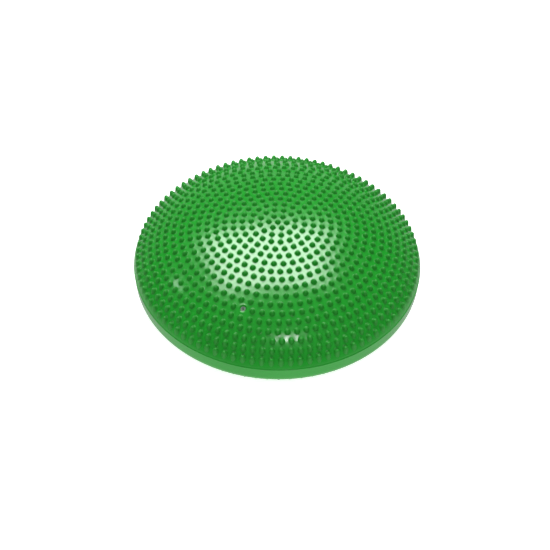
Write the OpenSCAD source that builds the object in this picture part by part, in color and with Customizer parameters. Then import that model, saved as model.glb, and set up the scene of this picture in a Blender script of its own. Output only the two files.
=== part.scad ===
// Inflatable balance pad: a moulded, air-filled skin with pegs on top,
// low bumps underneath and a self-sealing needle valve in its upper side.
// The skin is one moulding. It is divided here into zones that move in
// different ways when the pad is stood on. Millimetres, +Z up, origin at
// the bottom centre.

/* [Pad] */
// Diameter across the rim
disc_d = 333; // [305:1:360]
// Thickness of the moulded skin
wall = 3.6; // [3:0.2:4.4]
// Radius of the flat patch that it rests on
foot_r = 50; // [40:1:60]
// Height of the upright band under the parting line
band_h = 12; // [8:0.5:16]
// Radius of the rounded lower edge
heel_r = 12; // [8:0.5:16]
// Size of the parting ridge round the rim
ridge = 0.5; // [0.3:0.1:0.8]

/* [Pegs on top] */
// Radius of a peg where it leaves the skin
peg_base_r = 3.2; // [2.8:0.1:3.4]
// Radius of the flat of a peg's tip
peg_tip_r = 1.5; // [1.2:0.1:1.8]
// Height of a peg over the skin
peg_h = 4.4; // [3.6:0.1:5]
// Outward lean of the outermost pegs, in degrees
peg_lean = 7; // [0:1:10]
// Angle at which every ring of pegs starts, in degrees
first_peg = -3.6; // [-10:0.1:10]

/* [Bumps underneath] */
// Radius of a bump
bump_r = 2.5; // [2:0.1:3]
// Height of a bump
bump_h = 1.2; // [0.8:0.1:1.5]
// Distance between bumps
bump_pitch = 12.4; // [11.8:0.1:12.8]

/* [Valve] */
// Radius of the hole that the valve sits in
port_r = 3.7; // [3.4:0.1:4.2]
// Radius of the rubber plug
plug_r = 2.9; // [2.6:0.1:3]
// Radius of the channel that takes the pump's needle
needle_r = 1; // [0.8:0.05:1.2]
// Length of that channel
needle_len = 14; // [12:1:16]
// How far the valve lies below the skin's outer face
port_sink = 1.2; // [0.8:0.1:1.5]

/* [Hidden] */
$fn = 64;

pitch = disc_d / 33.1; // between two rings of pegs, along the skin
// Pegs in each ring, from the one round the centre peg outwards
ring_pegs = [6, 12, 18, 24, 30, 36, 43, 48, 54, 58, 64, 69, 76, 84, 90, 94, 98];
crown_rings = 7; // rings on the part that sinks flat
rolling_rings = 10; // the last ring on the part that rolls down round it
valve_ring = 12;
valve_place = 49; // the valve takes this peg's place in its ring
first_bump_ring = 4; // the innermost, counted in bump pitches from the foot's edge
sole_bump_ring = 7; // the last one on the sole
last_bump_ring = 9; // the outermost one, on the heel
gap = 0.3; // between zones that move apart
peg_root = 0.6; // how far a peg reaches into the skin

// Slope of the upper skin, in degrees, at the length s along it from the centre
function slope(s) =
    let(u = s / (16 * pitch))
    21.4 * u + 14.2 * pow(u, 3) + 5.2 * pow(u, 12);

// Point [radius, height over the middle of the top] of the upper skin at the length s
function upper(s) =
    s <= 0 ? [0, 0] :
    let(step = min(s, pitch / 4), before = upper(s - step), a = slope(s - step / 2))
    [before[0] + step * cos(a), before[1] - step * sin(a)];

rim_s = 18.3 * pitch; // length along the upper skin to the parting line
rim_r = upper(rim_s)[0];

// The lower skin is an upright band, then two arcs: the heel, and the sole inside it
heel_end = 14; // slope where the heel meets the sole
sole_r = (rim_r - heel_r * (1 - sin(heel_end)) - foot_r) / sin(heel_end);
band_z = sole_r * (1 - cos(heel_end)) + heel_r * cos(heel_end); // foot of the band
seam_z = band_z + band_h;
top_z = seam_z - upper(rim_s)[1];
band_end = 66; // slope at which the zone that stays with the rim ends

// Point of the heel and sole where they slope by a, at the depth d under their outer face
function lower(a, d = 0) =
    a > heel_end ? [rim_r - heel_r + (heel_r - d) * sin(a), band_z - (heel_r - d) * cos(a)] :
    [foot_r + (sole_r - d) * sin(a), sole_r - (sole_r - d) * cos(a)];

// Slope of the lower skin at the length t along it from the foot's edge
sole_len = sole_r * heel_end * PI / 180;
function lower_slope(t) =
    t < sole_len ? t / sole_r * 180 / PI : heel_end + (t - sole_len) / heel_r * 180 / PI;
sole_end = (sole_bump_ring + 0.5) * bump_pitch; // length at which the zone of the heel starts

// Corners of the upper skin: half-way between the rings of pegs, then closer
facet_s = concat([for (k = [0.5:15.5]) k * pitch], [for (k = [16:0.5:18]) k * pitch]);
// The same on the lower skin, as slopes
facet_a = concat([for (a = [3.5:3.5:14]) a], [for (a = [26:12:74]) a]);

crown_s = (crown_rings + 0.5) * pitch;
rolling_s = (rolling_rings + 0.5) * pitch;

// Outline of the upper skin's wall from the length s_from to s_to
module upper_wall(s_from, s_to) {
    lengths = concat([s_from], [for (s = facet_s) if (s > s_from + 1 && s < s_to - 1) s], [s_to]);
    lip = s_to == rim_s ? ridge : 0;
    face = [for (s = lengths) upper(s) + [s == s_to ? lip : 0, top_z]];
    back = [for (i = [len(lengths) - 1:-1:0]) let(s = lengths[i])
        s == rim_s ? [rim_r - wall, seam_z] :
        upper(s) + [0, top_z] - wall * [sin(slope(s)), cos(slope(s))]];
    polygon(concat(face, back));
}

// Outline of the lower skin's wall where it slopes from a_from to a_to; 90 takes in the band
module lower_wall(a_from, a_to) {
    slopes = concat([a_from], [for (a = facet_a) if (a > a_from + 1 && a < a_to - 1) a], [a_to]);
    face = [for (a = slopes) lower(a)];
    band = a_to < 90 ? [] :
        [[rim_r, seam_z - 2 * ridge], [rim_r + ridge, seam_z], [rim_r - wall, seam_z]];
    back = [for (i = [len(slopes) - 1:-1:0]) lower(slopes[i], wall)];
    polygon(concat(face, band, back));
}

// One peg, standing on the origin and going below it by sink
module peg(sink) {
    rotate_extrude()
        polygon([[0, -sink], [peg_base_r, -sink], [peg_base_r, 0], [1.4 * peg_tip_r, peg_h - 1],
            [peg_tip_r, peg_h], [0, peg_h]]);
}

// Peg number i of a ring
module ring_peg(ring, i) {
    s = ring * pitch;
    a = slope(s);
    out = pitch / 5 * sin(a);
    half_step = ring == 2 ? 15 : 0;
    rotate(first_peg + half_step + i * 360 / ring_pegs[ring - 1])
        translate([upper(s)[0] + out, 0, top_z + upper(s)[1] - out * tan(a)])
            rotate([0, peg_lean * s / rim_s, 0])
                peg(peg_base_r * tan(a) + peg_root);
}

// The pegs of the rings from first to last, without the one that the valve replaces
module pegs(first, last) {
    color("darkgreen")
        for (ring = [first:last])
            for (i = [0:ring_pegs[ring - 1] - 1])
                if (ring != valve_ring || i != valve_place)
                    ring_peg(ring, i);
}

// Places a shape at the valve: origin on the skin's outer face, +Z straight out of it
module at_valve() {
    s = valve_ring * pitch;
    rotate(first_peg + valve_place * 360 / ring_pegs[valve_ring - 1])
        translate([upper(s)[0], 0, top_z + upper(s)[1]])
            rotate([0, slope(s), 0])
                children();
}

// The middle of the top, which sinks flat under a foot
module crown_skin() {
    color("forestgreen")
        rotate_extrude()
            upper_wall(0, crown_s - gap);
}

module crown_pegs() {
    color("darkgreen")
        translate([0, 0, top_z])
            peg(peg_root);
    pegs(1, crown_rings);
}

// The band round it, which rolls down with it
module rolling_skin() {
    color("forestgreen")
        rotate_extrude()
            upper_wall(crown_s, rolling_s);
}

module rolling_pegs() {
    pegs(crown_rings + 1, rolling_rings);
}

// The outer part of the top, down to the parting line at the rim, with the valve's hole
module shoulder_skin() {
    color("forestgreen")
        difference() {
            rotate_extrude()
                upper_wall(rolling_s, rim_s);
            at_valve()
                translate([0, 0, -2 * wall])
                    cylinder(r = port_r, h = 4 * wall);
        }
}

module shoulder_pegs() {
    pegs(rolling_rings + 1, len(ring_pegs));
}

// Neck moulded into the skin, which holds the rubber plug
module valve_seat() {
    flange_r = port_r + 3;
    flange_h = 1.5;
    flange_z = -wall - 0.6;
    neck_end = -port_sink - needle_len - 1;
    color("seagreen")
        at_valve()
            rotate_extrude()
                polygon([[plug_r, -port_sink], [port_r, -port_sink], [port_r, flange_z],
                    [flange_r, flange_z], [flange_r, flange_z - flange_h],
                    [port_r + 0.6, flange_z - flange_h - 1], [port_r, neck_end],
                    [plug_r, neck_end]]);
}

// Soft rubber plug with the channel that a pump's needle goes into
module valve_plug() {
    plug_top = -port_sink;
    plug_end = plug_top - needle_len - 3;
    color("dimgray")
        at_valve()
            rotate_extrude()
                polygon([[needle_r, plug_top], [plug_r, plug_top], [plug_r, plug_end],
                    [0, plug_end], [0, plug_top - needle_len], [needle_r, plug_top - needle_len]]);
}

// The band under the parting line and the start of the heel, which stay with the rim
module lower_rim_skin() {
    color("forestgreen")
        rotate_extrude()
            lower_wall(band_end, 90);
}

// The rounded lower edge, which flattens on the floor as the pad rocks
module heel_skin() {
    color("forestgreen")
        rotate_extrude()
            lower_wall(lower_slope(sole_end + gap), band_end - gap / heel_r * 180 / PI);
}

// One low round bump on the underside, at the length t from the foot's edge
module bump(t) {
    a = lower_slope(t);
    translate([lower(a)[0], 0, lower(a)[1]])
        rotate([0, 180 - a, 0])
            translate([0, 0, -peg_root])
                cylinder(r1 = bump_r, r2 = 0.6 * bump_r, h = bump_h + peg_root);
}

// Rings of bumps, where the underside has risen clear of the floor
module bumps(first, last) {
    color("darkgreen")
        for (ring = [first:last]) {
            count = round(2 * PI * lower(lower_slope(ring * bump_pitch))[0] / bump_pitch);
            for (i = [0:count - 1])
                rotate(i * 360 / count)
                    bump(ring * bump_pitch);
        }
}

module heel_bumps() {
    bumps(sole_bump_ring + 1, last_bump_ring);
}

// The almost flat underside round the foot
module sole_skin() {
    color("forestgreen")
        rotate_extrude()
            lower_wall(0, lower_slope(sole_end));
}

module sole_bumps() {
    bumps(first_bump_ring, sole_bump_ring);
}

// The flat patch that stays on the floor
module foot_skin() {
    color("forestgreen")
        cylinder(r = foot_r, h = wall);
}

crown_skin();
crown_pegs();
rolling_skin();
rolling_pegs();
shoulder_skin();
shoulder_pegs();
valve_seat();
valve_plug();
lower_rim_skin();
heel_skin();
heel_bumps();
sole_skin();
sole_bumps();
foot_skin();
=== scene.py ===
"""Looks of the inflatable balance pad: its pegged top, bumpy underside and needle valve."""

import math

import bmesh
import bpy
import numpy as np
from mathutils import Matrix, Vector
from mathutils.geometry import delaunay_2d_cdt


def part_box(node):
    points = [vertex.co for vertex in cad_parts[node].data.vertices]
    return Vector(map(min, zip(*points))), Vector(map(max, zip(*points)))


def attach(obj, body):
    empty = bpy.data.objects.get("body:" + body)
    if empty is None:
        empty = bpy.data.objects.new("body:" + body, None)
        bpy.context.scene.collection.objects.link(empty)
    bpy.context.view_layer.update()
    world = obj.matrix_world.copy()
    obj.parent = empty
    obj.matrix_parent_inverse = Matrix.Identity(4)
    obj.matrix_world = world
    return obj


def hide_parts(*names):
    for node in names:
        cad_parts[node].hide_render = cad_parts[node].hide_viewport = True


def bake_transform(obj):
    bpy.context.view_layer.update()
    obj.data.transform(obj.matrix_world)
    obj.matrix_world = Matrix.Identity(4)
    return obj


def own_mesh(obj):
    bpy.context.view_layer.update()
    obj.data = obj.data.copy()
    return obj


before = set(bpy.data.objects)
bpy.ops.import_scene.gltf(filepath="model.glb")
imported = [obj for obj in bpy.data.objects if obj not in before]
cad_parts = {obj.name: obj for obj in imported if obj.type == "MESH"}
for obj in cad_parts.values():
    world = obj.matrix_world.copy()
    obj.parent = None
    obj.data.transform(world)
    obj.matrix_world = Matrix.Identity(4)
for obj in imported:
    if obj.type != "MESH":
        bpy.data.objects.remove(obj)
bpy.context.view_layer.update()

# ---------------------------------------------------------------- sizes, in metres
MM = 0.001
RIDGE = 0.5 * MM  # how far the parting ridge stands out of the rim
WALL = 3.6 * MM
RIM_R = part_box("lower_rim_skin")[1].x - RIDGE
SEAM_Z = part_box("lower_rim_skin")[1].z
TOP_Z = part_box("crown_skin")[1].z
FOOT_R = 50 * MM
PITCH = RIM_R / 16.562  # between two rings of pegs, along the skin
RIM_S = 18.3 * PITCH  # length along the upper skin to the parting line

RING_PEGS = [6, 12, 18, 24, 30, 36, 43, 48, 54, 58, 64, 69, 76, 84, 90, 94, 98]
FIRST_PEG = math.radians(-3.6)
PEG_LEAN = math.radians(7)  # of the outermost pegs
PEG_SIDES = 12
# A peg from over its foot to its tip: (radius, height) in mm
PEG_SHAPE = [(3.25, 0.35), (2.9, 1.2), (2.4, 2.65), (1.75, 3.75), (0.9, 4.28)]
PEG_TIP = 4.42 * MM
SKIRT_EDGE = 0.02 * MM  # the skin lies flat up to here, just inside a peg's foot
PEG_UPRIGHT = 2.6 * MM  # height at which a peg no longer follows the skin's slope
RIM_STOP = 0.9982 * RIM_R  # how far out the outermost feet may reach
VALVE_RING = 12
VALVE_PLACE = 49
PLUG_R = 2.9 * MM
PORT_R = 3.7 * MM
NEEDLE_R = 1 * MM
PORT_SINK = 1.2 * MM
PORT_DEPTH = 4 * MM
# The dimple round the valve, from its edge inwards: (radius, height over the skin) in mm
PORT_SHAPE = [(6.2, 0.0), (5.3, 0.05), (4.7, 0.16), (4.2, 0.16), (3.85, -0.05), (3.65, -0.5), (3.5, -1.0),
              (3.2, -1.2), (PLUG_R / MM, -1.25)]

HEEL_R = 12 * MM  # radius of the rounded lower edge
HEEL_END = 14  # slope, in degrees, where the heel meets the sole
BUMP_PITCH = 12.4 * MM
BUMP_RINGS = range(4, 10)
BUMP_SIDES = 12
BUMP_SHAPE = [(3.1, 0), (2.6, 0.18), (2.1, 0.62), (1.4, 1.0), (0.7, 1.16)]
BUMP_TIP = 1.2 * MM
FOOT_SIDES = 72  # points round the edge of the foot
MID_Z = 19 * MM  # height where the two pieces of the lower skin meet
LOWER_SIDES = 288


# ---------------------------------------------------------------- profiles
class Profile:
    """Outline of a round skin: radius r and height z at the length s along it, as fine lists."""

    def __init__(self, s, r, z):
        self.s, self.r, self.z = s, r, z
        self.slope = np.arctan2(-np.gradient(z, s), np.gradient(r, s))

    def at(self, s):
        return np.interp(s, self.s, self.r), np.interp(s, self.s, self.z)

    def s_of_r(self, r):
        return np.interp(r, self.r, self.s)

    def point(self, s, angle, out=0.0):
        """Points of the skin, moved out of it along its normal."""
        r, z = self.at(s)
        a = np.interp(s, self.s, self.slope)
        side = 1 if self.z[-1] < self.z[0] else -1
        r = r + out * np.sin(a) * side
        z = z + out * np.cos(a) * side
        return np.stack([r * np.cos(angle), r * np.sin(angle), z], -1)


def upper_profile():
    s = np.linspace(0, RIM_S, 4001)
    u = s / (16 * PITCH)
    slope = np.radians(21.4 * u + 14.2 * u**3 + 5.2 * u**12)
    step = np.diff(s)
    mid = (slope[1:] + slope[:-1]) / 2
    r = np.concatenate([[0], np.cumsum(step * np.cos(mid))])
    z = np.concatenate([[0], np.cumsum(-step * np.sin(mid))])
    return Profile(s, r, TOP_Z + z)


def lower_profile():
    """From the middle of the foot outwards and up to the parting line: foot, sole, heel and band."""
    end = math.radians(HEEL_END)
    sole_r = (RIM_R - HEEL_R * (1 - math.sin(end)) - FOOT_R) / math.sin(end)
    band_z = sole_r * (1 - math.cos(end)) + HEEL_R * math.cos(end)
    sole = np.linspace(0, end, 400)[1:]
    heel = np.linspace(end, math.pi / 2, 400)[1:]
    r = np.concatenate([np.linspace(0, FOOT_R, 400), FOOT_R + sole_r * np.sin(sole),
                        RIM_R - HEEL_R * (1 - np.sin(heel)), np.full(200, RIM_R)])
    z = np.concatenate([np.zeros(400), sole_r * (1 - np.cos(sole)),
                        band_z - HEEL_R * np.cos(heel), np.linspace(band_z, SEAM_Z, 201)[1:]])
    s = np.concatenate([[0], np.cumsum(np.hypot(np.diff(r), np.diff(z)))])
    return Profile(s, r, z)


UPPER = upper_profile()
LOWER = lower_profile()


# ---------------------------------------------------------------- mesh helpers
class Shell:
    """Collects the vertices and faces of one piece."""

    def __init__(self):
        self.points, self.faces, self.sharp = [], [], []
        self.peg_shade_and_matt = []  # 0 on the skin to 1 on a peg, for the material: the pegs' painted shade and their matt finish

    def add(self, points, peg_shade_and_matt=0.0):
        first = sum(len(p) for p in self.points)
        points = np.asarray(points, float).reshape(-1, 3)
        self.points.append(points)
        self.peg_shade_and_matt.append(np.full(len(points), peg_shade_and_matt))
        return np.arange(first, first + len(points))

    def bridge(self, lower, upper, flip=False):
        """Quads between two closed rings with the same number of vertices."""
        after_l, after_u = np.roll(lower, -1), np.roll(upper, -1)
        quads = np.stack([lower, after_l, after_u, upper], 1)
        self.faces += (quads[:, ::-1] if flip else quads).tolist()

    def cap(self, ring, middle, flip=False):
        after = np.roll(ring, -1)
        tris = np.stack([ring, after, np.full(len(ring), middle)], 1)
        self.faces += (tris[:, ::-1] if flip else tris).tolist()

    def sharpen(self, ring):
        self.sharp += [frozenset(pair) for pair in zip(ring.tolist(), np.roll(ring, -1).tolist())]

    def build(self, name):
        mesh = bpy.data.meshes.new(name)
        mesh.from_pydata(np.concatenate(self.points).tolist(), [], self.faces)
        mesh.polygons.foreach_set("use_smooth", [True] * len(mesh.polygons))
        sharp = set(self.sharp)
        marks = mesh.attributes.new("sharp_edge", "BOOLEAN", "EDGE")
        marks.data.foreach_set("value", [frozenset(e.vertices) in sharp for e in mesh.edges])
        peg_shade_and_matt = mesh.attributes.new("peg", "FLOAT", "POINT")
        peg_shade_and_matt.data.foreach_set("value", np.concatenate(self.peg_shade_and_matt).astype(np.float32))
        mesh.validate()
        faces = bmesh.new()
        faces.from_mesh(mesh)
        bmesh.ops.recalc_face_normals(faces, faces=faces.faces)
        faces.to_mesh(mesh)
        faces.free()
        obj = bpy.data.objects.new(name, mesh)
        bpy.context.scene.collection.objects.link(obj)
        return obj


def circle(count, start=0.0):
    return start + np.arange(count) * 2 * math.pi / count


def revolve(shell, outline, count, peg_shade_and_matt=0.0, flip=False):
    """Rings of count vertices along an outline of (radius, height); returns each ring's vertices."""
    angle = circle(count)
    rings = [shell.add(np.stack([r * np.cos(angle), r * np.sin(angle), np.full(count, z)], 1), peg_shade_and_matt)
             for r, z in outline]
    for low, high in zip(rings, rings[1:]):
        shell.bridge(low, high, flip)
    return rings


def triangulate(shell, profile, feet, loose, rim, upside_down):
    """Skin between the feet of pegs: feet are (vertices, s, angle) rings left open, loose are (s, angle)
    points, and rim is the outermost ring. Everything is laid out flat by its length along the skin."""
    ids, flat, edges, owner = [], [], [], []
    for number, (ring, s, angle) in enumerate(feet + [rim]):
        base = len(flat)
        flat += [Vector(p) for p in np.stack([s * np.cos(angle), s * np.sin(angle)], 1).tolist()]
        edges += [(base + i, base + (i + 1) % len(ring)) for i in range(len(ring))]
        ids += ring.tolist()
        owner += [number if number < len(feet) else -1] * len(ring)
    for s, angle in loose:
        ids += shell.add(profile.point(s, angle)).tolist()
        flat += [Vector(p) for p in np.stack([s * np.cos(angle), s * np.sin(angle)], 1).tolist()]
        owner += [-1] * len(s)
    _, _, faces, origin, _, _ = delaunay_2d_cdt(flat, edges, [], 0, 1e-7)
    for face in faces:
        corners = [origin[i][0] for i in face]
        owners = {owner[i] for i in corners}
        if len(owners) == 1 and owners != {-1}:
            continue
        face = [ids[i] for i in corners]
        shell.faces.append(face[::-1] if upside_down else face)


def clear_of(profile, s, angle, feet, room):
    """The points (s, angle) that lie further than room from every foot ring, seen from above."""
    def plan(s, angle):
        r = profile.at(s)[0]
        return r * np.exp(1j * angle)
    points = plan(s, angle)
    keep = np.ones(len(s), bool)
    for _, foot_s, foot_angle in feet:
        ring = plan(foot_s, foot_angle)
        middle = ring.mean()
        keep &= abs(points - middle) > abs(ring - middle).max() + room
    return s[keep], angle[keep]


# ---------------------------------------------------------------- upper skin
def ring_angle(ring, place):
    half_step = math.radians(15) if ring == 2 else 0
    return FIRST_PEG + half_step + place * 2 * math.pi / RING_PEGS[ring - 1]


VALVE_S = VALVE_RING * PITCH
VALVE_ANGLE = ring_angle(VALVE_RING, VALVE_PLACE)


def add_peg(shell, s, angle):
    """One peg: near upright, with its foot where the skin is. Returns its foot ring for the skin."""
    slope = np.interp(s, UPPER.s, UPPER.slope)
    lean = math.tan(PEG_LEAN * s / RIM_S)
    axis_r = UPPER.at(s)[0] + 0.2 * PITCH * math.sin(slope)
    axis_z = UPPER.at(UPPER.s_of_r(axis_r))[1]
    out = np.array([math.cos(angle), math.sin(angle)])
    along = circle(PEG_SIDES, angle)
    spokes = np.stack([np.cos(along), np.sin(along)], 1)
    rings, foot = [], None
    skirt = 3.3 + 0.6 * math.cos(slope) ** 2
    for radius, height in [(skirt, 0), (skirt - 0.3, SKIRT_EDGE / MM)] + PEG_SHAPE:
        height *= MM
        plan = out * (axis_r + height * lean) + spokes * radius * MM
        reach = np.minimum(np.hypot(plan[:, 0], plan[:, 1]), RIM_STOP)
        skin_s = UPPER.s_of_r(reach)
        skin_z = UPPER.at(skin_s)[1]
        if foot is None:
            turn = np.arctan2(plan[:, 1], plan[:, 0])
            foot = (skin_s, turn)
            plan = np.stack([reach * np.cos(turn), reach * np.sin(turn)], 1)
        t = min(1, height / PEG_UPRIGHT)
        own = t * t * (3 - 2 * t)
        z = (skin_z * (1 - own) + axis_z * own) + height
        # The peg mask is 1 from the skirt edge up, so the painted shade and the matt finish take in the
        # peg's foot
        rings.append(shell.add(np.column_stack([plan, z]), min(1, height / SKIRT_EDGE)))
    for low, high in zip(rings, rings[1:]):
        shell.bridge(low, high)
    tip = shell.add([[*(out * (axis_r + PEG_TIP * lean)), axis_z + PEG_TIP]], 1.0)
    shell.cap(rings[-1], tip[0])
    return rings[0], foot[0], foot[1]


def add_port(shell):
    """The round dimple of the valve, with a soft lip, down to the rubber plug."""
    angle = circle(32)
    rings = []
    for radius, out in PORT_SHAPE:
        s = VALVE_S - radius * MM * np.cos(angle)
        turn = VALVE_ANGLE - radius * MM * np.sin(angle) / UPPER.at(s)[0]
        rings.append((shell.add(UPPER.point(s, turn, out * MM)), s, turn))
    for low, high in zip(rings, rings[1:]):
        shell.bridge(low[0], high[0])
    deep = shell.add(UPPER.point(rings[-1][1], rings[-1][2], -PORT_DEPTH))
    shell.bridge(rings[-1][0], deep)
    shell.sharpen(rings[-1][0])
    return rings[0]


def make_top_skin():
    shell = Shell()
    feet = [add_peg(shell, 0.0, 0.0)]
    for ring, count in enumerate(RING_PEGS, 1):
        feet += [add_peg(shell, ring * PITCH, ring_angle(ring, place)) for place in range(count)
                 if (ring, place) != (VALVE_RING, VALVE_PLACE)]
    feet.append(add_port(shell))
    count = 4 * RING_PEGS[-1]
    loose = []
    for ring, pegs in enumerate(RING_PEGS):
        for part in (0.5, 0.98):
            s = np.full(2 * pegs, (ring + part) * PITCH)
            between = circle(2 * pegs, FIRST_PEG + math.pi / pegs / 2)
            loose.append(clear_of(UPPER, s, between, feet, 0.5 * MM))
    rim_rings = [RIM_S - back * MM for back in (2.4, 1.9, 1.4, 1.0)]
    angle = circle(count, FIRST_PEG)
    s = np.full(count, rim_rings[0])
    edge = shell.add(UPPER.point(s, angle))
    triangulate(shell, UPPER, feet, loose, (edge, s, angle), False)
    for s in rim_rings[1:]:
        ring = shell.add(UPPER.point(np.full(count, s), angle))
        shell.bridge(ring, edge)
        edge = ring
    for out, up in ((-0.14, 0.66), (0.08, 0.44), (0.42, 0.3), (0.5, 0.12), (0.5, 0.0)):
        r = RIM_R + out * MM
        ring = shell.add(np.column_stack([r * np.cos(angle), r * np.sin(angle),
                                          np.full(count, SEAM_Z + up * MM)]))
        shell.bridge(ring, edge)
        edge = ring
    # the wall's inner face, joined on at the parting line, with half as many sides further in
    r = RIM_R - WALL
    inner = [shell.add(np.column_stack([r * np.cos(angle), r * np.sin(angle), np.full(count, SEAM_Z)])),
             shell.add(UPPER.point(np.full(count, RIM_S - 3 * MM), angle, -WALL))]
    shell.bridge(inner[0], edge)
    shell.sharpen(edge)
    shell.sharpen(inner[0])
    shell.bridge(inner[1], inner[0])
    wide = inner[1]
    coarse = shell.add(UPPER.point(np.full(count // 2, RIM_S - 7 * MM), angle[::2], -WALL))
    for i in range(len(coarse)):
        a, b, c = wide[2 * i], wide[2 * i + 1], wide[(2 * i + 2) % count]
        p, q = coarse[i], coarse[(i + 1) % len(coarse)]
        shell.faces += [[int(p), int(b), int(a)], [int(p), int(q), int(b)], [int(q), int(c), int(b)]]
    for s in np.linspace(RIM_S - 12 * MM, 6 * MM, 20):
        ring = shell.add(UPPER.point(np.full(count // 2, s), angle[::2], -WALL))
        shell.bridge(ring, coarse)
        coarse = ring
    middle = shell.add([[0, 0, TOP_Z - WALL]])
    shell.cap(coarse, middle[0], flip=True)
    return shell.build("top_skin")


# ---------------------------------------------------------------- lower skin
def add_bump(shell, s, angle):
    """One low round bump on the underside. Returns its foot ring for the skin."""
    around = circle(BUMP_SIDES)
    rings, foot = [], None
    for radius, height in BUMP_SHAPE:
        ring_s = s + radius * MM * np.cos(around)
        turn = angle + radius * MM * np.sin(around) / LOWER.at(ring_s)[0]
        foot = foot or (ring_s, turn)
        rings.append(shell.add(LOWER.point(ring_s, turn, height * MM), height * MM / BUMP_TIP))
    for low, high in zip(rings, rings[1:]):
        shell.bridge(low, high)
    tip = shell.add(LOWER.point(np.array([s]), np.array([angle]), BUMP_TIP), 1.0)
    shell.cap(rings[-1], tip[0])
    return rings[0], foot[0], foot[1]


def mid_s():
    """Length along the lower skin where it has risen to MID_Z."""
    return float(np.interp(MID_Z, LOWER.z[399:], LOWER.s[399:]))


def inner_outline(profile, s_list):
    """The wall's inner face as (radius, height) at lengths along the outer face."""
    points = profile.point(np.array(s_list), np.zeros(len(s_list)), -WALL)
    return [(p[0], p[2]) for p in points]


def make_sole():
    """The underside up to MID_Z, with its bumps, and the wall's inner face."""
    shell = Shell()
    feet, loose = [], []
    for ring in BUMP_RINGS:
        s = FOOT_R + ring * BUMP_PITCH
        count = round(2 * math.pi * LOWER.at(s)[0] / BUMP_PITCH)
        feet += [add_bump(shell, s, angle) for angle in circle(count)]
        between = 2 * count
        angle = circle(between, math.pi / between)
        loose.append((np.full(between, s - BUMP_PITCH / 2), angle))
    for s in (0.2, 0.4, 0.6, 0.8, 0.96, 1.2, 1.4, 1.6):
        angle = circle(max(12, round(FOOT_SIDES * s)))
        loose.append((np.full(len(angle), s * FOOT_R), angle))
    loose.append((np.array([0.0]), np.array([0.0])))
    end = mid_s()
    angle = circle(LOWER_SIDES)
    s = np.full(LOWER_SIDES, end - 1.6 * MM)
    edge = shell.add(LOWER.point(s, angle))
    triangulate(shell, LOWER, feet, loose, (edge, s, angle), True)
    for back in (0.8, 0.0):
        ring = shell.add(LOWER.point(np.full(LOWER_SIDES, end - back * MM), angle))
        shell.bridge(edge, ring, flip=True)
        edge = ring
    inner_s = np.linspace(4 * MM, LOWER.s[-1], 600)
    inner = np.array(inner_outline(LOWER, inner_s))
    top = np.interp(MID_Z, inner[:, 1], inner[:, 0])
    outline = [tuple(p) for p in inner[inner[:, 1] < MID_Z - 0.3 * MM][::24]] + [(top, MID_Z)]
    rings = revolve(shell, outline, LOWER_SIDES, flip=True)
    shell.bridge(edge, rings[-1], flip=True)
    shell.sharpen(edge)
    shell.sharpen(rings[-1])
    middle = shell.add([[0, 0, WALL]])
    shell.cap(rings[0], middle[0])
    return shell.build("underside_skin")


def make_side_band():
    """The smooth band from MID_Z up to the parting line, with its half of the ridge."""
    shell = Shell()
    start, end = mid_s(), LOWER.s[-1]
    lengths = [start, start + 0.8 * MM] + list(np.linspace(start + 2.4 * MM, end - 1.2 * MM, 14))
    outline = [LOWER.at(s) for s in lengths]
    outline += [(RIM_R + out * MM, SEAM_Z + up * MM)
                for out, up in ((0.03, -0.62), (0.16, -0.42), (0.42, -0.3), (0.5, -0.12), (0.5, 0.0))]
    inner = np.array(inner_outline(LOWER, np.linspace(start - 10 * MM, end, 400)))
    low = np.interp(MID_Z, inner[:, 1], inner[:, 0])
    back = [(low, MID_Z)] + [tuple(p) for p in inner[inner[:, 1] > MID_Z + 0.5 * MM][::28]]
    back += [(RIM_R - WALL, SEAM_Z)]
    rings = revolve(shell, outline + back[::-1], LOWER_SIDES)
    shell.bridge(rings[-1], rings[0])
    for ring in (rings[0], rings[len(outline) - 1], rings[len(outline)], rings[-1]):
        shell.sharpen(ring)
    return shell.build("side_band")


# ---------------------------------------------------------------- valve
def valve_frame():
    """Origin on the skin's outer face at the valve, +Z straight out of it."""
    slope = float(np.interp(VALVE_S, UPPER.s, UPPER.slope))
    place = Vector(UPPER.point(np.array([VALVE_S]), np.array([VALVE_ANGLE]))[0])
    turn = Matrix.Rotation(VALVE_ANGLE, 4, "Z") @ Matrix.Rotation(slope, 4, "Y")
    return Matrix.Translation(place) @ turn


def lathe(name, outline, count):
    """A closed solid of revolution at the valve, from (radius, height) points in mm."""
    shell = Shell()
    ends = outline[0], outline[-1]
    body = [p for p in outline if p[0] > 0]
    rings = revolve(shell, [(r * MM, z * MM) for r, z in body], count)
    for (r, z), ring, flip in ((ends[0], rings[0], True), (ends[1], rings[-1], False)):
        if r == 0:
            middle = shell.add([[0, 0, z * MM]])
            shell.cap(ring, middle[0], flip)
    if ends[0][0] > 0:
        shell.bridge(rings[-1], rings[0])
    obj = shell.build(name)
    obj.data.transform(valve_frame())
    return obj


def make_valve():
    plug, port, hole = PLUG_R / MM, PORT_R / MM, NEEDLE_R / MM
    top = -PORT_SINK / MM
    plug_outline = [(0, top - 17), (plug - 0.6, top - 17), (plug - 0.1, top - 16.6), (plug - 0.1, top - 8),
                    (plug - 0.05, top - 0.5), (plug - 0.15, top - 0.15), (plug - 0.4, top + 0.05),
                    (plug - 0.7, top + 0.14), (plug - 1.0, top + 0.16), (hole + 0.7, top + 0.06),
                    (hole + 0.5, top - 0.1), (hole + 0.35, top - 0.15), (hole + 0.15, top - 0.22),
                    (hole, top - 0.5), (hole, top - 14), (0, top - 14)]
    neck_outline = [(plug, top - 0.3), (plug + 0.05, top - 0.6), (plug + 0.4, top - 0.8),
                    (port, top - 1.0), (port, -4.2), (port + 3, -4.2), (port + 3, -5.7),
                    (port + 0.6, -6.7), (port, top - 15), (plug, top - 15)]
    return (lathe("valve_plug_rubber", plug_outline[::-1], 40),
            lathe("valve_neck", neck_outline, 40))


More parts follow.
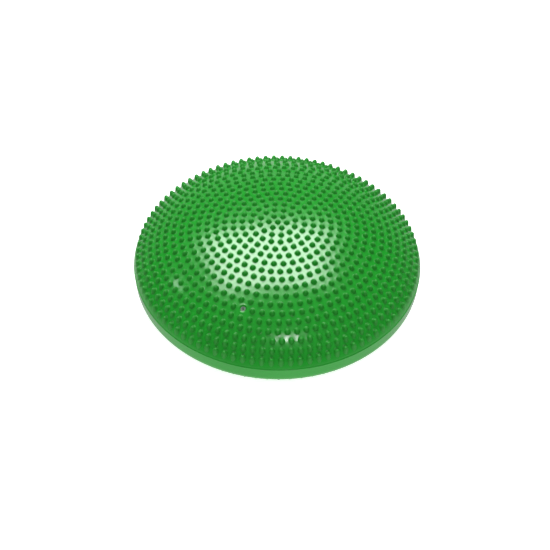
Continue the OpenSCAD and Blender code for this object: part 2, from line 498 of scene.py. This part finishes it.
# ---------------------------------------------------------------- materials
class Nodes:
    """A material's node tree, with short ways to add nodes and links."""

    def __init__(self, name):
        self.material = bpy.data.materials.new(name)
        self.material.use_nodes = True
        self.tree = self.material.node_tree
        self.shader = self.tree.nodes["Principled BSDF"]

    def new(self, kind, **settings):
        node = self.tree.nodes.new(kind)
        for key, value in settings.items():
            if key in node.inputs:
                node.inputs[key].default_value = value
            else:
                setattr(node, key, value)
        return node

    def link(self, source, target):
        self.tree.links.new(source, target)

    def noise(self, scale, detail=3.0):
        """Noise over the object's own coordinates; scale is features per metre."""
        if not hasattr(self, "coordinates"):
            self.coordinates = self.new("ShaderNodeTexCoord").outputs["Object"]
        node = self.new("ShaderNodeTexNoise", Scale=scale, Detail=detail)
        self.link(self.coordinates, node.inputs["Vector"])
        return node.outputs["Fac"]

    def ramp(self, factor, low, high, start=0.3, end=0.7):
        """factor from start to end spread over low to high: numbers, or colours."""
        if isinstance(low, (int, float)):
            node = self.new("ShaderNodeMapRange")
            for name, value in zip(("From Min", "From Max", "To Min", "To Max"), (start, end, low, high)):
                node.inputs[name].default_value = value
            self.link(factor, node.inputs["Value"])
            return node.outputs["Result"]
        node = self.new("ShaderNodeValToRGB")
        node.color_ramp.elements[0].position, node.color_ramp.elements[0].color = start, (*low, 1)
        node.color_ramp.elements[1].position, node.color_ramp.elements[1].color = end, (*high, 1)
        self.link(factor, node.inputs["Fac"])
        return node.outputs["Color"]

    def mix(self, factor, a, b):
        node = self.new("ShaderNodeMix", data_type="RGBA")
        for socket, value in ((node.inputs[0], factor), (node.inputs[6], a), (node.inputs[7], b)):
            if isinstance(value, bpy.types.NodeSocket):
                self.link(value, socket)
            else:
                socket.default_value = (*value, 1)
        return node.outputs[2]

    def bump(self, height, strength, distance, under=None):
        node = self.new("ShaderNodeBump", Strength=strength, Distance=distance)
        self.link(height, node.inputs["Height"])
        if under is not None:
            self.link(under, node.inputs["Normal"])
        return node.outputs["Normal"]


# Colours, as linear red, green and blue
SKIN_GREEN = (0.014, 0.390, 0.026)
SKIN_GREEN_DEEP = (0.011, 0.350, 0.021)
# Painted shade: the pegs' green is darker than the skin's, standing in for their steep, less lit sides
PEG_SHADED_GREEN = (0.007, 0.320, 0.015)
RUBBER_DARK = (0.130, 0.200, 0.140)
RUBBER_GREY = (0.260, 0.360, 0.280)


def pvc():
    """Soft glossy PVC. The pegs and bumps are painted a deeper green, painted shade for their steep, less
    lit sides, and they are matt.
    """
    m = Nodes("soft_green_pvc")
    skin = m.ramp(m.noise(14, 4), SKIN_GREEN_DEEP, SKIN_GREEN)
    peg = m.new("ShaderNodeAttribute", attribute_name="peg").outputs["Fac"]
    # The peg mask darkens the base colour on pegs and bumps: painted shade
    m.link(m.mix(peg, skin, PEG_SHADED_GREEN), m.shader.inputs["Base Color"])
    polish = m.ramp(m.noise(55, 5), 0.17, 0.25)
    m.link(m.mix(peg, polish, (0.5, 0.5, 0.5)), m.shader.inputs["Roughness"])
    m.link(m.ramp(peg, 0.8, 0.0, 0.0, 1.0), m.shader.inputs["Coat Weight"])
    ripple = m.bump(m.noise(45, 2), 0.12, 0.0006)
    m.link(m.bump(m.noise(950, 3), 0.10, 0.00012, ripple), m.shader.inputs["Normal"])
    m.shader.inputs["Coat Roughness"].default_value = 0.16
    return m.material


def rubber():
    """Matt self-sealing rubber with fine grain and a little dust."""
    m = Nodes("valve_rubber")
    m.link(m.ramp(m.noise(700, 5), RUBBER_DARK, RUBBER_GREY, 0.35, 0.75), m.shader.inputs["Base Color"])
    m.link(m.ramp(m.noise(300, 3), 0.55, 0.75), m.shader.inputs["Roughness"])
    m.link(m.bump(m.noise(2500, 4), 0.25, 0.0001), m.shader.inputs["Normal"])
    return m.material


def dress(obj, material):
    obj.data.materials.append(material)


def press(obj):
    """Hangs the upper skin on the rim's body, with a mesh of its own."""
    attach(obj, "rim")
    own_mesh(obj)


def make_pad():
    skin, plug_rubber = pvc(), rubber()
    top = make_top_skin()
    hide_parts("crown_skin", "crown_pegs", "rolling_skin", "rolling_pegs",
                "shoulder_skin", "shoulder_pegs")
    plug, neck = make_valve()
    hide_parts("valve_plug")
    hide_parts("valve_seat")
    underside = make_sole()
    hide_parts("foot_skin", "sole_skin", "sole_bumps", "heel_skin", "heel_bumps")
    band = make_side_band()
    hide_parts("lower_rim_skin")
    for obj in (top, underside, band, neck):
        dress(obj, skin)
    dress(plug, plug_rubber)
    for obj in (top, plug, neck):
        press(obj)
    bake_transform(underside)
    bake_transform(band)


# ---------------------------------------------------------------- studio
CAMERA_HEIGHT = math.radians(47.4)  # above the horizon
CAMERA_ROLL = math.radians(0.8)
CAMERA_AWAY = 1.331
AIM_RIGHT, AIM_DOWN = -3.2 * MM, 59.6 * MM  # of the picture's middle, from the middle of the top
LENS = 76.8
FLOOR_GLOW = 0.8
DOME_R = 6.0
# The world's strength where it lights the pad, and where the gloss mirrors it
ROOM_LIGHT, TABLE_LIGHT = 0.5, 1.6
ROOM_GLOSS, TABLE_GLOSS, BACKDROP_GLOSS = 0.04, 0.5, 0.4


def make_camera():
    sin, cos = math.sin(CAMERA_HEIGHT), math.cos(CAMERA_HEIGHT)
    view = Matrix(((1, 0, 0), (0, sin, -cos), (0, cos, sin))) @ Matrix.Rotation(CAMERA_ROLL, 3, "Z")
    aim = Vector((0, 0, TOP_Z)) + view @ Vector((AIM_RIGHT, -AIM_DOWN, CAMERA_AWAY))
    camera = bpy.data.objects.new("camera", bpy.data.cameras.new("camera"))
    camera.data.lens = LENS
    camera.data.sensor_width = 36
    camera.matrix_world = Matrix.Translation(aim) @ view.to_4x4()
    bpy.context.scene.collection.objects.link(camera)
    bpy.context.scene.camera = camera


def softbox(name, direction, away, size, power):
    """A rectangular soft light that faces the pad, from a direction (degrees from upright towards
    +Y, and towards +X)."""
    back, side = (math.tan(math.radians(a)) for a in direction)
    place = Vector((side, back, 1)).normalized() * away
    data = bpy.data.lights.new(name, "AREA")
    data.shape = "RECTANGLE"
    data.size, data.size_y = size
    data.energy = power
    light = bpy.data.objects.new(name, data)
    light.location = place + Vector((0, 0, TOP_Z))
    light.rotation_euler = place.to_track_quat("Z", "Y").to_euler()
    bpy.context.scene.collection.objects.link(light)
    return light


def make_world():
    """Even soft light from a pale room and the table. What the gloss mirrors is darker: a dim room,
    the table, and a pale backdrop low behind the pad."""
    world = bpy.data.worlds.new("studio")
    world.use_nodes = True
    tree = world.node_tree

    def value(kind, operation, *inputs):
        node = tree.nodes.new(kind)
        if operation:
            node.operation = operation
        for socket, source in zip(node.inputs, inputs):
            if isinstance(source, bpy.types.NodeSocket):
                tree.links.new(source, socket)
            else:
                socket.default_value = source
        return node.outputs[0]

    split = tree.nodes.new("ShaderNodeSeparateXYZ")
    tree.links.new(tree.nodes.new("ShaderNodeTexCoord").outputs["Generated"], split.inputs[0])
    y, z = split.outputs["Y"], split.outputs["Z"]
    table = value("ShaderNodeMapRange", "", z, -0.3, 0.0, 1.0, 0.0)
    level = value("ShaderNodeMapRange", "", value("ShaderNodeMath", "ABSOLUTE", z), 0.1, 0.45, 1.0, 0.0)
    behind = value("ShaderNodeMapRange", "", y, 0.3, 0.8, 0.0, 1.0)
    backdrop = value("ShaderNodeMath", "MULTIPLY", level, behind)
    soft = value("ShaderNodeMath", "MULTIPLY_ADD", table, TABLE_LIGHT - ROOM_LIGHT, ROOM_LIGHT)
    gloss = value("ShaderNodeMath", "MULTIPLY_ADD", table, TABLE_GLOSS - ROOM_GLOSS, ROOM_GLOSS)
    gloss = value("ShaderNodeMath", "MULTIPLY_ADD", backdrop, BACKDROP_GLOSS, gloss)
    is_glossy = tree.nodes.new("ShaderNodeLightPath").outputs["Is Glossy Ray"]
    change = value("ShaderNodeMath", "SUBTRACT", gloss, soft)
    strength = value("ShaderNodeMath", "MULTIPLY_ADD", is_glossy, change, soft)
    tree.nodes["Background"].inputs["Color"].default_value = (1, 1, 1, 1)
    tree.links.new(strength, tree.nodes["Background"].inputs["Strength"])
    bpy.context.scene.world = world


def make_floor():
    """A white floor that curves up all round into a white dome, seen only by the camera."""
    shell = Shell()
    outline = [(r, 0.0) for r in (0.5, 1.5, 3.0, DOME_R)]
    outline += [(DOME_R * math.cos(a), DOME_R * math.sin(a)) for a in np.radians(range(6, 90, 6))]
    rings = revolve(shell, outline, 96)
    shell.cap(rings[0], shell.add([[0, 0, 0]])[0], flip=True)
    shell.cap(rings[-1], shell.add([[0, 0, DOME_R]])[0])
    floor = shell.build("floor")
    for ray in ("diffuse", "glossy", "transmission", "shadow"):
        setattr(floor, "visible_" + ray, False)
    paper = Nodes("white_floor")
    paper.shader.inputs["Base Color"].default_value = (0.9, 0.9, 0.9, 1)
    paper.shader.inputs["Roughness"].default_value = 1.0
    paper.shader.inputs["Specular IOR Level"].default_value = 0
    paper.shader.inputs["Emission Color"].default_value = (1, 1, 1, 1)
    paper.shader.inputs["Emission Strength"].default_value = FLOOR_GLOW
    floor.data.materials.append(paper.material)


def make_studio():
    """A large softbox over the back of the pad, brighter in its middle as the gloss mirrors it, and
    two small strips."""
    bpy.context.scene.view_settings.view_transform = "Standard"
    make_world()
    make_floor()
    softbox("back_softbox", (27, -4), 1.3, (1.2, 0.85), 14)
    softbox("back_softbox_gloss", (26, -4), 1.29, (0.9, 0.7), 7).visible_diffuse = False
    softbox("front_strip", (-34, 8), 1.3, (0.2, 0.03), 1.3)
    softbox("left_strip", (18, -50), 1.3, (0.03, 0.16), 0.3).visible_diffuse = False


make_camera()
make_studio()
make_pad()
